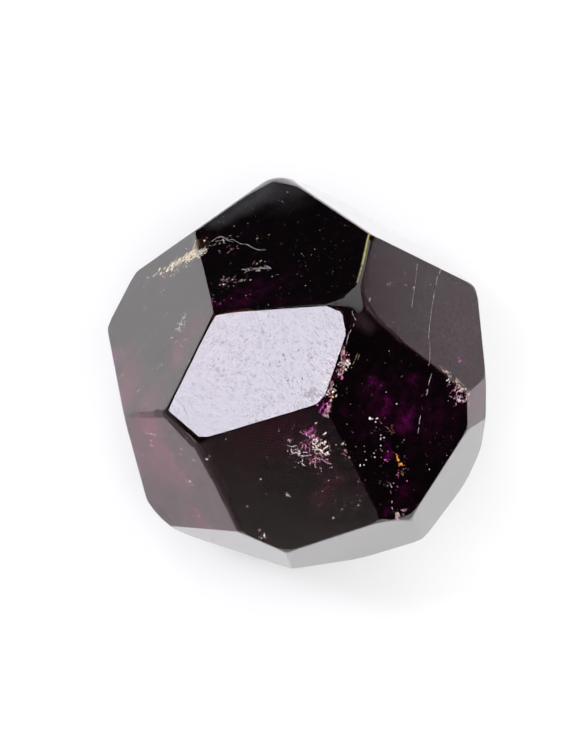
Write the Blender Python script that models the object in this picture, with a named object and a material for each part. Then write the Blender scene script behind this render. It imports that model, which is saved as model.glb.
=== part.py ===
"""A single garnet crystal: a trapezohedron of 24 hand-polished flats with rounded edges, worn corners and chips.

Every flat is given the way a stone cutter writes it down: how far its outward direction leans from straight up,
the compass heading of that lean, and how far the flat stands from the middle of the crystal. The shape is the
hull of small balls set inside the corners of that polyhedron, so each edge is a narrow rounded strip and each
corner a small rounded cap. Chips and pits are cut out of it afterwards.
"""

import itertools
import math
import random

import bmesh
import bpy
import numpy as np
from mathutils import Matrix, Vector

MM = 0.001

# Name of each flat: (lean from straight up, heading counter-clockwise from +X, distance from the middle),
# in degrees, degrees and millimetres.
FLATS = {
    "top_front_left": (27.0, 217.5, 15.10),
    "top_back_left": (30.5, 121.0, 13.45),
    "top_front_right": (46.0, 314.5, 16.80),
    "top_right": (47.5, 13.5, 15.75),
    "shoulder_front": (56.5, 259.5, 16.45),
    "shoulder_left": (57.0, 168.5, 13.65),
    "shoulder_right": (70.0, 345.5, 18.65),
    "shoulder_back_right": (60.0, 55.5, 15.75),
    "shoulder_back_left": (65.0, 129.5, 17.00),
    "side_front_left": (82.0, 222.5, 16.15),
    "side_front_right": (89.5, 326.5, 18.30),
    "side_front": (101.0, 283.0, 18.05),
    "side_front_low": (103.0, 247.0, 17.50),
    "side_left": (96.0, 192.5, 16.95),
    "side_back_left": (100.0, 143.5, 20.75),
    "side_back": (83.5, 100.0, 20.10),
    "side_right": (92.5, 2.0, 17.50),
    "under_right": (123.5, 13.0, 14.80),
    "under_back": (136.5, 70.0, 17.75),
    "under_back_left": (140.0, 122.0, 16.50),
    "under_left": (145.5, 213.0, 16.35),
    "under_front": (146.0, 266.5, 14.90),
    "under_front_right": (148.5, 317.0, 14.40),
    "base": (180.0, 0.0, 15.35),
}

# Where the middle of the crystal stands from the origin, in millimetres. The origin is at the centre of the
# footprint of the whole crystal, on the plane it rests on.
MIDDLE = (0.375, -1.197, 15.35)

EDGE_RADIUS = 0.35  # mm, the rounding along every edge
CORNER_RADIUS = 1.0  # mm, the rounding at a corner that isn't named below
CORNER_REACH = 0.9  # mm, how far from the corner its rounding fades into that of the edge
ARC_STEPS = 4  # steps across the turn from one flat to the next

# Corners worn rounder than the rest: the flats that meet there, rounding radius and reach in millimetres.
WORN_CORNERS = (
    (("top_front_left", "top_back_left", "top_right", "top_front_right"), 2.0, 2.2),
    (("top_front_left", "shoulder_left", "side_front_left"), 1.5, 1.4),
    (("top_front_left", "side_front_left", "shoulder_front"), 1.8, 1.8),
    (("top_back_left", "shoulder_back_left", "shoulder_back_right", "side_back"), 3.6, 4.0),
    (("top_right", "shoulder_back_right", "under_right", "side_right"), 1.3, 1.2),
)

# Runs of chips: start (lean, heading) and end (lean, heading) in degrees as seen from the middle, number of
# chips, their breadth and depth in millimetres, and the seed of their scatter.
CHIP_RUNS = (
    ((59.0, 131.5), (62.5, 136.0), 3, 2.1, 0.55, 3),
    ((62.0, 136.0), (76.0, 141.0), 7, 1.2, 0.28, 5),
    ((76.0, 140.5), (88.3, 143.0), 6, 0.8, 0.18, 7),
    ((26.5, 303.4), (31.0, 293.0), 6, 1.1, 0.32, 8),
    ((33.7, 287.6), (39.5, 284.0), 4, 1.1, 0.35, 13),
    ((56.5, 341.5), (65.5, 336.0), 7, 0.9, 0.28, 21),
    ((51.0, 286.6), (53.9, 288.8), 3, 0.5, 0.15, 34),
    ((77.5, 300.5), (76.5, 295.0), 4, 0.6, 0.16, 55),
    ((83.5, 258.0), (84.1, 261.5), 3, 0.5, 0.15, 89),
)

# Patches of shallow pits: centre (lean, heading), radius of the patch, number, breadth and depth, and seed.
PIT_PATCHES = (
    ((51.5, 275.0), 1.8, 14, 0.55, 0.12, 2),
    ((53.8, 174.7), 0.8, 5, 0.40, 0.08, 4),
    ((62.5, 236.8), 0.3, 2, 0.40, 0.10, 6),
    ((53.3, 306.6), 0.5, 3, 0.35, 0.08, 10),
)

GARNET_COLOUR = (0.10, 0.008, 0.030, 1.0)
GARNET_ROUGHNESS = 0.06
GARNET_IOR = 1.79


def heading_vector(lean, heading):
    """The unit direction that leans by lean degrees from straight up toward a compass heading."""
    lean, heading = math.radians(lean), math.radians(heading)
    return np.array([math.sin(lean) * math.cos(heading), math.sin(lean) * math.sin(heading), math.cos(lean)])


NORMALS = {name: heading_vector(lean, heading) for name, (lean, heading, _) in FLATS.items()}
DISTANCES = {name: distance for name, (_, _, distance) in FLATS.items()}


def corners(inset):
    """The corners of the crystal with every flat moved in by inset: {names of the three flats: point}."""
    normals = np.array(list(NORMALS.values()))
    distances = np.array(list(DISTANCES.values())) - inset
    found = {}
    for three in itertools.combinations(range(len(FLATS)), 3):
        planes = normals[list(three)]
        if abs(np.linalg.det(planes)) < 1e-6:
            continue
        point = np.linalg.solve(planes, distances[list(three)])
        if (normals @ point <= distances + 1e-9).all():
            names = list(FLATS)
            found[frozenset(names[i] for i in three)] = point
    return found


def worn_at(corner):
    """(radius, reach) of the rounding at a corner, and the group of flats that it is worn with."""
    for flats, radius, reach in WORN_CORNERS:
        if corner <= set(flats):
            return radius, reach, frozenset(flats)
    return CORNER_RADIUS, CORNER_REACH, corner


def ball_patch(centre, radius, flats):
    """Points of a ball that face between the given flats, those flats' own directions included."""
    directions = [NORMALS[name] for name in sorted(flats)]
    points = []
    steps = range(ARC_STEPS + 1)
    for shares in itertools.product(steps, repeat=len(directions)):
        if sum(shares) != ARC_STEPS:
            continue
        blend = sum(share * direction for share, direction in zip(shares, directions))
        points.append(centre + radius * blend / np.linalg.norm(blend))
    return points


def corner_balls(sharp):
    """Points of the balls that round the corners."""
    points = []
    for radius in sorted({worn_at(corner)[0] for corner in sharp}):
        for corner, centre in corners(radius).items():
            if worn_at(corner)[0] == radius:
                points += ball_patch(centre, radius, corner)
    return points


def edge_balls(sharp):
    """Points of the balls that round the edges, set in from both ends of each edge by the corners' reach."""
    points = []
    for (first, start), (second, end) in itertools.combinations(sharp.items(), 2):
        shared = first & second
        if len(shared) != 2 or worn_at(first)[2] == worn_at(second)[2]:
            continue
        length = np.linalg.norm(end - start)
        reaches = worn_at(first)[1], worn_at(second)[1]
        if length <= sum(reaches):
            continue
        along = (end - start) / length
        for centre in (start + along * reaches[0], end - along * reaches[1]):
            points += ball_patch(centre, EDGE_RADIUS, shared)
    return points


def crystal_mesh(points):
    """The hull of the points as a mesh, with triangles that lie in one plane joined."""
    mesh = bmesh.new()
    for point in points:
        mesh.verts.new(Vector((point + np.array(MIDDLE)) * MM))
    bmesh.ops.remove_doubles(mesh, verts=mesh.verts, dist=1e-6)
    hull = bmesh.ops.convex_hull(mesh, input=mesh.verts)
    loose = {part for part in hull["geom_interior"] + hull["geom_unused"] if isinstance(part, bmesh.types.BMVert)}
    bmesh.ops.delete(mesh, geom=list(loose), context="VERTS")
    bmesh.ops.recalc_face_normals(mesh, faces=mesh.faces)
    bmesh.ops.dissolve_limit(mesh, angle_limit=math.radians(0.05), verts=mesh.verts, edges=mesh.edges)
    bmesh.ops.triangulate(mesh, faces=mesh.faces)
    return mesh


def surface_at(lean, heading):
    """Where the ray from the middle in this direction leaves the crystal, and the outward direction there."""
    ray = heading_vector(lean, heading)
    ranges = {name: DISTANCES[name] / (NORMALS[name] @ ray) for name in FLATS if NORMALS[name] @ ray > 0.05}
    nearest = min(ranges.values())
    outward = sum(NORMALS[name] for name, reach in ranges.items() if reach < nearest + 0.4)
    return ray * nearest, outward / np.linalg.norm(outward)


def add_chip(mesh, point, outward, breadth, depth, chance):
    """A rough flattened ball that dips into the surface by depth over about the given breadth."""
    size = Vector((0.62 * breadth, 0.62 * breadth * chance.uniform(0.6, 1.0), 1.7 * depth))
    turn = Vector(outward).to_track_quat("Z", "X").to_matrix().to_4x4()
    spin = Matrix.Rotation(chance.uniform(0.0, math.tau), 4, "Z")
    centre = Vector((point + outward * 0.7 * depth + np.array(MIDDLE)) * MM)
    place = Matrix.Translation(centre) @ turn @ spin @ Matrix.Diagonal((*(size * MM), 1.0))
    ball = bmesh.ops.create_icosphere(mesh, subdivisions=2 if breadth > 0.9 else 1, radius=1.0)["verts"]
    for vertex in ball:
        vertex.co *= chance.uniform(0.82, 1.12)
    bmesh.ops.transform(mesh, matrix=place, verts=ball)


def chip_cutters():
    """One mesh per run or patch, each holding its chips."""
    meshes = []
    for start, end, count, breadth, depth, seed in CHIP_RUNS:
        chance = random.Random(seed)
        mesh = bmesh.new()
        for step in range(count):
            share = step / max(1, count - 1)
            lean = start[0] + (end[0] - start[0]) * share + chance.uniform(-0.9, 0.9)
            heading = start[1] + (end[1] - start[1]) * share + chance.uniform(-0.9, 0.9)
            point, outward = surface_at(lean, heading)
            scale = 0.45 + 0.75 * chance.uniform(0.0, 1.0) ** 2
            add_chip(mesh, point, outward, breadth * scale, depth * scale, chance)
        meshes.append(mesh)
    for (lean, heading), radius, count, breadth, depth, seed in PIT_PATCHES:
        chance = random.Random(seed)
        mesh = bmesh.new()
        centre, outward = surface_at(lean, heading)
        across = np.cross(outward, (0.0, 0.0, 1.0))
        across /= np.linalg.norm(across)
        upward = np.cross(across, outward)
        for _ in range(count):
            angle = chance.uniform(0.0, math.tau)
            reach = radius * math.sqrt(chance.uniform(0.0, 1.0))
            point = centre + reach * (math.cos(angle) * across + math.sin(angle) * upward)
            add_chip(mesh, point, outward, breadth * chance.uniform(0.7, 1.2), depth, chance)
        meshes.append(mesh)
    return meshes


def new_object(name, mesh):
    """Puts the bmesh into the scene as an object."""
    data = bpy.data.meshes.new(name)
    mesh.to_mesh(data)
    mesh.free()
    made = bpy.data.objects.new(name, data)
    bpy.context.scene.collection.objects.link(made)
    return made


def garnet_material():
    material = bpy.data.materials.new("garnet")
    material.use_nodes = True
    surface = material.node_tree.nodes["Principled BSDF"]
    surface.inputs["Base Color"].default_value = GARNET_COLOUR
    surface.inputs["Roughness"].default_value = GARNET_ROUGHNESS
    surface.inputs["Metallic"].default_value = 0.0
    surface.inputs["IOR"].default_value = GARNET_IOR
    surface.inputs["Transmission Weight"].default_value = 1.0
    return material


def build():
    for old in list(bpy.data.objects):
        bpy.data.objects.remove(old)
    sharp = corners(EDGE_RADIUS)
    crystal = new_object("garnet_crystal", crystal_mesh(corner_balls(sharp) + edge_balls(sharp)))
    crystal.data.materials.append(garnet_material())
    for number, mesh in enumerate(chip_cutters()):
        cutter = new_object(f"chip_cutter_{number + 1}", mesh)
        cutter.hide_render = True
        cutter.display_type = "WIRE"
        cut = crystal.modifiers.new(f"chips_{number + 1}", "BOOLEAN")
        cut.operation = "DIFFERENCE"
        cut.solver = "EXACT"
        cut.use_self = True
        cut.object = cutter


build()
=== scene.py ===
"""A hand-polished garnet crystal on a white table, with its worn edges, chips, scratches and dust."""

import itertools
import math
import random

import bmesh
import bpy
import numpy as np
from mathutils import Matrix, Vector
from mathutils.bvhtree import BVHTree


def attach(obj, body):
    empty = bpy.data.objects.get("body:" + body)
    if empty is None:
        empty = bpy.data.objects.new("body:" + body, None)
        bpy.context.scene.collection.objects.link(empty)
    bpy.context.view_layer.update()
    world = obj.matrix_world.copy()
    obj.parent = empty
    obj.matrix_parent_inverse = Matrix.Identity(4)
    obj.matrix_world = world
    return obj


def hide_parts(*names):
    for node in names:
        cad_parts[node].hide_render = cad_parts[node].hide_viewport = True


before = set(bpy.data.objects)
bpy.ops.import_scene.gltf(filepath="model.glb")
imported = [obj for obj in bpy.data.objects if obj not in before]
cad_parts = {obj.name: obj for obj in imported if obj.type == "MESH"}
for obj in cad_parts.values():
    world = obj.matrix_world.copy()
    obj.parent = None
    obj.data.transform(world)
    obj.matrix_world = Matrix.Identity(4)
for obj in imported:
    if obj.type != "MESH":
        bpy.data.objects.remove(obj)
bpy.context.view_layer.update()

bl_info = {
    "name": "Garnet crystal",
    "version": (1, 0, 0),
    "blender": (4, 5, 0),
    "location": "3D View > Sidebar > Garnet",
    "description": "Models a worn, polished garnet crystal and the white table and soft lights around it",
    "category": "Add Mesh",
}

MM = 0.001
NODE = "garnet_crystal"
SNUG = 0.9994  # keeps the finely rounded crystal inside the plainer solid

# Each flat as a stone cutter writes it down: lean from straight up and heading counter-clockwise from +X, in
# degrees, and distance from the middle of the crystal in millimetres.
FLATS = {
    "top_front_left": (27.0, 217.5, 15.1),
    "top_back_left": (30.5, 121.0, 13.45),
    "top_front_right": (46.0, 314.5, 16.8),
    "top_right": (47.5, 13.5, 15.75),
    "shoulder_front": (56.5, 259.5, 16.45),
    "shoulder_left": (57.0, 168.5, 13.65),
    "shoulder_right": (70.0, 345.5, 18.65),
    "shoulder_back_right": (60.0, 55.5, 15.75),
    "shoulder_back_left": (65.0, 129.5, 17.0),
    "side_front_left": (82.0, 222.5, 16.15),
    "side_front_right": (89.5, 326.5, 18.3),
    "side_front": (101.0, 283.0, 18.05),
    "side_front_low": (103.0, 247.0, 17.5),
    "side_left": (96.0, 192.5, 16.95),
    "side_back_left": (100.0, 143.5, 20.75),
    "side_back": (83.5, 100.0, 20.1),
    "side_right": (92.5, 2.0, 17.5),
    "under_right": (123.5, 13.0, 14.8),
    "under_back": (136.5, 70.0, 17.75),
    "under_back_left": (140.0, 122.0, 16.5),
    "under_left": (145.5, 213.0, 16.35),
    "under_front": (146.0, 266.5, 14.9),
    "under_front_right": (148.5, 317.0, 14.4),
    "base": (180.0, 0.0, 15.35),
}
MIDDLE = np.array((0.375, -1.197, 15.35))  # mm, the middle of the crystal

# Edges worn rounder than the rest: the two flats on either side and the rounding radius in millimetres.
WORN_EDGES = {
    frozenset(("top_front_left", "shoulder_left")): 0.55,
    frozenset(("top_front_left", "side_front_left")): 0.95,
    frozenset(("side_front_left", "shoulder_front")): 1.1,
    frozenset(("side_front_left", "shoulder_left")): 0.9,
    frozenset(("top_back_left", "shoulder_back_left")): 1.3,
    frozenset(("top_back_left", "shoulder_back_right")): 0.7,
    frozenset(("top_right", "top_front_right")): 0.8,
    frozenset(("top_right", "top_back_left")): 0.5,
}

# Corners worn rounder than the rest: the flats that meet there, rounding radius and reach in millimetres.
WORN_CORNERS = (
    (("top_front_left", "top_back_left", "top_right", "top_front_right"), 2.3, 2.6),
    (("top_front_left", "top_back_left", "shoulder_left"), 0.9, 1.9),
    (("top_front_left", "shoulder_left", "side_front_left"), 0.7, 0.6),
    (("top_front_left", "side_front_left", "shoulder_front"), 1.1, 1.3),
    (("top_back_left", "shoulder_back_left", "shoulder_back_right", "side_back"), 3.3, 3.8),
    (("top_right", "shoulder_back_right", "under_right", "side_right"), 1.5, 1.4),
    (("shoulder_front", "side_front", "top_front_right"), 0.9, 1.0),
    (("side_front", "side_front_right", "top_front_right"), 1.2, 1.3),
)

# Runs of chips: start (lean, heading) and end (lean, heading) in degrees as seen from the middle, number of
# chips, their breadth and depth in millimetres, and the seed of their scatter.
CHIP_RUNS = (
    ((59.5, 131.0), (61.5, 133.5), 3, 1.7, 0.55, 3), ((57.0, 135.0), (64.0, 138.5), 8, 1.1, 0.32, 4),
    ((64.0, 137.5), (76.0, 141.0), 16, 0.75, 0.2, 5), ((76.0, 140.5), (88.3, 143.0), 12, 0.55, 0.13, 7),
    ((24.5, 304.0), (30.8, 295.5), 24, 0.46, 0.17, 8), ((32.3, 289.2), (40.5, 282.8), 18, 0.44, 0.17, 13),
    ((54.5, 340.8), (63.1, 338.9), 18, 0.42, 0.14, 21), ((50.6, 286.8), (54.4, 288.2), 6, 0.22, 0.07, 34),
    ((77.5, 300.5), (76.5, 295.0), 9, 0.4, 0.12, 55), ((83.0, 258.5), (84.1, 261.0), 4, 0.3, 0.08, 89),
)
# Where the breaks are brown, and where they are creamy: centre (lean, heading), and the distances in
# millimetres at which the tint is whole and gone.
BROWN_HOLLOW = ((60.5, 131.0), 0.55 * 1.35, 1.35)
CREAM_TRAIL = ((70.0, 139.5), 4.0, 6.5)

# Clusters of flecks: centre (lean, heading), spread, number, and fleck size in millimetres, and their kind.
FLECKS = (
    ((57.5, 136.0), 0.55, 26, 0.26, "cream"), ((59.5, 133.5), 0.6, 10, 0.16, "cream"),
    ((64.6, 138.9), 0.45, 16, 0.2, "cream"), ((70.0, 140.0), 0.5, 16, 0.17, "cream"),
    ((75.7, 141.2), 0.5, 24, 0.2, "cream"), ((80.0, 142.6), 0.45, 16, 0.16, "cream"),
    ((86.0, 143.3), 0.35, 8, 0.12, "cream"), ((91.0, 144.6), 0.4, 9, 0.11, "cream"),
    ((56.0, 126.0), 0.5, 12, 0.12, "gold"), ((31.5, 149.7), 0.65, 20, 0.13, "white"),
    ((32.8, 157.3), 0.45, 11, 0.11, "gold"), ((26.0, 144.6), 0.22, 6, 0.13, "gold"),
    ((24.4, 142.3), 0.1, 2, 0.14, "white"), ((16.7, 118.0), 0.12, 3, 0.13, "white"),
    ((31.4, 174.5), 0.4, 12, 0.13, "magenta"), ((18.9, 163.8), 0.28, 6, 0.12, "magenta"),
    ((46.9, 111.1), 0.35, 7, 0.12, "gold"), ((63.4, 95.8), 0.15, 3, 0.14, "white"),
    ((53.3, 173.8), 0.6, 34, 0.14, "cream"), ((58.8, 175.5), 0.3, 10, 0.11, "cream"),
    ((98.0, 168.6), 0.4, 10, 0.16, "magenta"), ((91.5, 178.9), 0.25, 6, 0.13, "gold"),
    ((77.7, 192.7), 0.3, 9, 0.13, "rose"), ((64.4, 190.0), 0.25, 7, 0.12, "cream"),
    ((87.2, 167.6), 0.2, 3, 0.11, "white"), ((78.3, 150.0), 0.5, 6, 0.12, "white"),
    ((87.3, 154.7), 0.15, 3, 0.12, "cream"), ((49.3, 189.5), 0.7, 10, 0.13, "rose"),
    ((101.4, 209.4), 0.45, 14, 0.15, "magenta"), ((92.1, 208.5), 0.4, 7, 0.12, "rose"),
    ((81.3, 227.6), 0.45, 16, 0.12, "rose"), ((81.4, 231.6), 0.4, 8, 0.11, "white"),
    ((110.1, 224.7), 0.12, 3, 0.13, "white"), ((50.8, 278.6), 0.3, 14, 0.15, "cream"),
    ((51.5, 273.5), 1.0, 9, 0.11, "white"), ((54.9, 270.4), 0.55, 10, 0.11, "white"),
    ((45.6, 274.7), 0.5, 14, 0.13, "rose"), ((53.2, 281.1), 0.16, 6, 0.15, "white"),
    ((46.8, 281.2), 0.14, 4, 0.16, "white"), ((62.5, 237.2), 0.14, 8, 0.15, "white"),
    ((83.6, 260.1), 0.18, 7, 0.15, "white"), ((69.1, 266.0), 0.12, 4, 0.11, "white"),
    ((67.6, 289.3), 0.6, 12, 0.08, "rose"), ((70.2, 286.3), 0.6, 10, 0.08, "gold"),
    ((50.9, 286.9), 0.24, 7, 0.11, "cream"), ((54.4, 288.0), 0.3, 8, 0.11, "rose"),
    ((47.7, 302.7), 0.08, 4, 0.17, "white"), ((51.1, 303.8), 0.4, 6, 0.13, "white"),
    ((54.7, 303.0), 0.25, 6, 0.14, "white"), ((54.7, 307.8), 0.35, 12, 0.14, "rust"),
    ((58.8, 299.0), 0.35, 6, 0.13, "white"), ((59.0, 292.0), 0.45, 4, 0.13, "white"),
    ((45.3, 291.1), 0.06, 2, 0.14, "white"), ((66.1, 296.7), 0.1, 3, 0.12, "gold"),
    ((68.9, 299.5), 0.1, 5, 0.15, "white"), ((62.9, 305.8), 0.16, 9, 0.2, "amber"),
    ((65.5, 305.4), 0.18, 10, 0.19, "amber"), ((67.8, 305.1), 0.22, 10, 0.16, "rust"),
    ((61.3, 303.2), 0.32, 8, 0.18, "magenta"), ((68.6, 304.3), 0.45, 8, 0.13, "magenta"),
    ((25.5, 303.5), 0.45, 14, 0.16, "rose"), ((25.5, 303.5), 0.45, 8, 0.14, "magenta"),
    ((28.7, 301.7), 0.3, 15, 0.17, "cream"), ((27.9, 296.4), 0.4, 9, 0.16, "rose"),
    ((27.9, 296.4), 0.4, 8, 0.15, "magenta"), ((31.1, 295.4), 0.14, 6, 0.15, "magenta"),
    ((34.1, 288.0), 0.35, 18, 0.18, "cream"), ((35.8, 287.4), 0.18, 8, 0.18, "amber"),
    ((31.5, 284.8), 0.18, 8, 0.17, "cream"), ((37.4, 282.6), 0.38, 18, 0.15, "magenta"),
    ((39.6, 282.4), 0.3, 10, 0.14, "magenta"), ((40.8, 283.4), 0.12, 5, 0.14, "cream"),
    ((55.5, 340.8), 0.22, 8, 0.13, "cream"), ((57.6, 337.6), 0.28, 12, 0.16, "white"),
    ((60.8, 339.9), 0.3, 18, 0.16, "gold"), ((63.5, 339.4), 0.35, 22, 0.16, "cream"),
    ((62.9, 336.1), 0.45, 18, 0.13, "rose"), ((65.1, 337.4), 0.3, 14, 0.15, "rose"),
    ((63.8, 350.3), 0.22, 9, 0.15, "magenta"), ((32.9, 14.6), 0.22, 5, 0.13, "white"),
    ((22.0, 354.3), 0.3, 6, 0.13, "white"), ((76.9, 298.7), 0.55, 20, 0.14, "rose"),
    ((24.5, 294.1), 0.28, 12, 0.14, "cream"), ((21.8, 287.6), 0.22, 6, 0.12, "cream"),
    ((24.4, 282.1), 0.6, 9, 0.11, "rust"), ((50.2, 241.8), 0.1, 4, 0.15, "white"),
)

# Lace of tiny cracks: centre (lean, heading), spread, number of strings, sliver length and width in
# millimetres, and kind.
WEBS = (
    ((51.5, 274.8), 0.95, 18, 0.17, 0.045, "rose"), ((48.5, 275.0), 0.7, 12, 0.16, 0.045, "magenta"),
    ((50.8, 278.6), 0.42, 16, 0.16, 0.075, "cream"), ((51.5, 273.0), 0.9, 7, 0.16, 0.05, "white"),
    ((56.5, 277.5), 0.6, 12, 0.16, 0.055, "rose"), ((54.9, 270.8), 0.5, 7, 0.15, 0.06, "white"),
    ((53.2, 281.1), 0.14, 5, 0.12, 0.055, "white"), ((62.9, 336.1), 0.45, 9, 0.18, 0.06, "rose"),
    ((62.5, 339.5), 0.4, 9, 0.16, 0.07, "cream"), ((54.7, 307.8), 0.3, 6, 0.15, 0.06, "rust"),
    ((25.8, 303.0), 0.4, 8, 0.15, 0.055, "rose"), ((28.3, 300.5), 0.35, 7, 0.16, 0.065, "cream"),
    ((38.2, 282.6), 0.35, 11, 0.16, 0.065, "magenta"), ((65.4, 337.2), 0.46, 13, 0.16, 0.045, "rose"),
    ((64.2, 336.2), 0.4, 7, 0.16, 0.05, "white"), ((53.3, 173.8), 0.5, 12, 0.16, 0.05, "cream"),
    ((31.5, 149.7), 0.55, 8, 0.15, 0.05, "rose"), ((30.6, 133.4), 0.22, 5, 0.13, 0.05, "white"),
    ((26.7, 124.6), 0.28, 7, 0.13, 0.055, "white"), ((24.3, 120.4), 0.2, 5, 0.13, 0.06, "white"),
    ((50.0, 124.5), 0.75, 7, 0.14, 0.04, "rose"), ((57.8, 125.6), 0.6, 8, 0.15, 0.045, "cream"),
    ((74.0, 140.5), 0.6, 14, 0.17, 0.08, "cream"), ((66.0, 138.9), 0.4, 9, 0.16, 0.08, "cream"),
    ((57.0, 135.8), 0.4, 10, 0.18, 0.11, "cream"),
)

# Cracks and scratches: the (lean, heading) addresses they run through, the share of their length that shows,
# their width in millimetres and their kind.
SCRATCHES = (
    (((58.5, 128.7), (59.1, 125.4), (57.8, 123.5), (54.7, 123.6), (53.4, 121.4), (48.7, 120.6), (46.1, 118.0),
      (42.0, 117.0), (38.9, 115.1), (37.0, 111.2)), 0.9, 0.06, "white"),
    (((54.7, 123.6), (53.0, 123.2), (51.8, 122.0)), 0.9, 0.045, "white"),
    (((56.2, 33.8), (50.2, 23.9), (45.7, 14.7), (42.2, 4.0)), 0.55, 0.045, "white"),
    (((70.2, 32.7), (62.9, 25.8), (58.2, 18.0), (54.0, 9.8), (50.9, 0.7), (48.9, 351.9)),
     0.55, 0.05, "white"),
    (((50.9, 0.7), (48.9, 351.9), (49.2, 346.1), (48.8, 340.6), (48.7, 336.9)), 0.75, 0.065, "rose"),
    (((51.4, 335.5), (52.0, 333.3), (55.2, 327.3), (55.8, 325.9), (57.1, 323.7), (58.5, 320.4),
      (61.7, 316.7)), 0.6, 0.045, "white"),
    (((68.5, 299.7), (69.9, 299.0), (72.4, 298.3), (75.2, 297.1)), 0.45, 0.06, "rose"),
    (((37.8, 20.2), (41.2, 18.6), (44.1, 17.9), (47.2, 18.0)), 0.45, 0.05, "white"),
    (((17.9, 331.3), (18.1, 328.9), (19.1, 327.0), (20.2, 325.7), (20.8, 319.9), (21.5, 313.3),
      (23.2, 308.2)), 0.65, 0.045, "white"),
    (((68.9, 266.2), (69.6, 267.7)), 0.9, 0.08, "white"),
    (((72.5, 283.1), (71.1, 286.4), (70.7, 289.5)), 0.3, 0.035, "gold"),
    (((79.1, 209.0), (76.4, 211.3), (74.0, 214.0)), 0.55, 0.07, "white"),
    (((82.9, 211.3), (82.1, 213.7)), 0.8, 0.07, "white"),
    (((108.5, 240.0), (112.5, 240.8)), 0.9, 0.1, "rust"),
    (((106.1, 241.2), (103.4, 244.6), (102.4, 247.7)), 0.5, 0.07, "rust"),
    (((33.0, 135.3), (29.9, 132.2), (28.6, 128.3), (26.3, 124.6), (23.8, 119.8)), 0.75, 0.06, "white"),
    (((30.6, 135.8), (28.4, 130.7), (27.4, 126.3), (24.9, 122.4)), 0.55, 0.05, "white"),
    (((31.7, 126.7), (33.5, 122.2), (30.2, 123.7), (31.5, 118.8)), 0.9, 0.09, "gold"),
    (((29.6, 305.4), (28.4, 309.3), (27.5, 312.1)), 0.6, 0.035, "gold"),
    (((30.2, 306.3), (29.2, 309.8), (28.2, 313.0)), 0.6, 0.035, "gold"),
)

# Soft glows by tint, clouding or painted sheen: centre (lean, heading), radius in millimetres and strength.
GLOWS = {
    "rose": (
        ((84.5, 189.4), 4.4, 0.2), ((90.0, 174.0), 2.6, 0.14), ((68.9, 204.4), 4.2, 0.14),
        ((50.3, 191.5), 3.4, 0.13), ((40.2, 182.2), 2.2, 0.14), ((78.0, 143.5), 2.2, 0.05),
        ((88.4, 212.4), 5.4, 0.11), ((82.9, 224.3), 4.2, 0.08), ((97.4, 236.9), 2.8, 0.16),
        ((75.9, 210.7), 3.0, 0.06), ((68.7, 277.5), 1.8, 0.018), ((62.7, 281.3), 1.8, 0.016),
        ((46.0, 267.0), 4.0, 0.012), ((52.0, 276.0), 2.0, 0.03), ((52.0, 250.0), 4.5, 0.006),
        ((75.0, 19.2), 1.6, 0.06), ((58.1, 2.8), 2.2, 0.03), ((65.0, 4.7), 5.0, 0.035),
        ((66.8, 344.9), 2.5, 0.03), ((30.4, 209.8), 2.6, 0.03), ((39.7, 217.4), 2.2, 0.03),
        ((28.3, 287.9), 1.6, 0.035), ((74.0, 100.0), 1.2, 0.02), ((46.0, 42.0), 1.0, 0.03),
    ),
    "magenta": (
        ((97.8, 168.8), 1.5, 0.5), ((101.4, 209.4), 0.9, 0.34), ((38.7, 309.9), 1.3, 0.04),
        ((45.3, 309.7), 1.5, 0.045), ((53.0, 317.2), 1.7, 0.04), ((47.1, 327.0), 1.3, 0.034),
        ((41.2, 292.5), 0.9, 0.024), ((51.0, 295.8), 2.2, 0.004), ((56.8, 313.2), 1.7, 0.028),
        ((61.3, 303.2), 0.8, 0.06), ((72.1, 302.9), 1.6, 0.016), ((74.0, 295.9), 0.8, 0.034),
        ((31.4, 174.5), 0.9, 0.11), ((22.0, 172.0), 2.4, 0.022), ((17.0, 150.0), 2.6, 0.014),
        ((12.0, 110.0), 2.4, 0.01), ((69.0, 92.0), 1.0, 0.035), ((63.8, 350.3), 0.6, 0.24),
        ((46.0, 312.0), 5.0, 0.006), ((60.0, 324.0), 5.0, 0.007), ((36.0, 284.0), 1.2, 0.03),
        ((71.5, 342.7), 3.2, 0.05),
    ),
    "brown": (
        ((62.4, 127.8), 1.1, 0.03), ((61.9, 219.1), 0.9, 0.03), ((64.4, 226.6), 0.9, 0.022),
    ),
    "olive": (),
    # Painted sheen: grey patches that stand in for a grey backdrop mirrored on the rounded top back edge.
    "grey": (
        ((66.8, 89.0), 2.6, 0.03), ((69.3, 99.6), 2.8, 0.034), ((67.1, 108.7), 2.4, 0.026),
        ((65.6, 118.7), 1.9, 0.02), ((62.0, 93.0), 3.6, 0.01),
    ),
}
# Glows along lines: from, to, radius in millimetres and strength.
STREAKS = {
    "magenta": (
        ((26.9, 174.6), (5.0, 200.0), 1.0, 0.008), ((5.0, 200.0), (8.0, 325.0), 0.7, 0.005),
    ),
    "brown": (
        ((30.0, 188.0), (17.5, 193.5), 0.4, 0.1), ((32.5, 186.3), (38.0, 194.5), 0.34, 0.07),
        ((36.5, 338.2), (49.5, 340.2), 0.26, 0.03), ((49.5, 340.2), (60.5, 341.0), 0.26, 0.03),
    ),
    "olive": (
        ((36.4, 48.7), (23.4, 28.6), 0.17, 0.6), ((23.4, 28.6), (18.1, 7.3), 0.13, 0.4),
    ),
    # Painted sheen along the rounded top back edge.
    "grey": (
        ((67.9, 117.4), (72.0, 101.0), 2.6, 0.026),
    ),
}
GLOW_TINTS = {
    "rose": ((0.62, 0.03, 0.16, 1), (0.78, 0.1, 0.3, 1)),
    "magenta": ((0.6, 0.002, 0.3, 1), (0.62, 0.01, 0.42, 1)),
    "brown": ((0.45, 0.1, 0.08, 1), (0.55, 0.2, 0.18, 1)),
    "olive": ((0.5, 0.46, 0.12, 1), (0.62, 0.58, 0.3, 1)),
    "grey": ((0.6, 0.6, 0.62, 1), (0.6, 0.58, 0.58, 1)),
}
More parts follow.
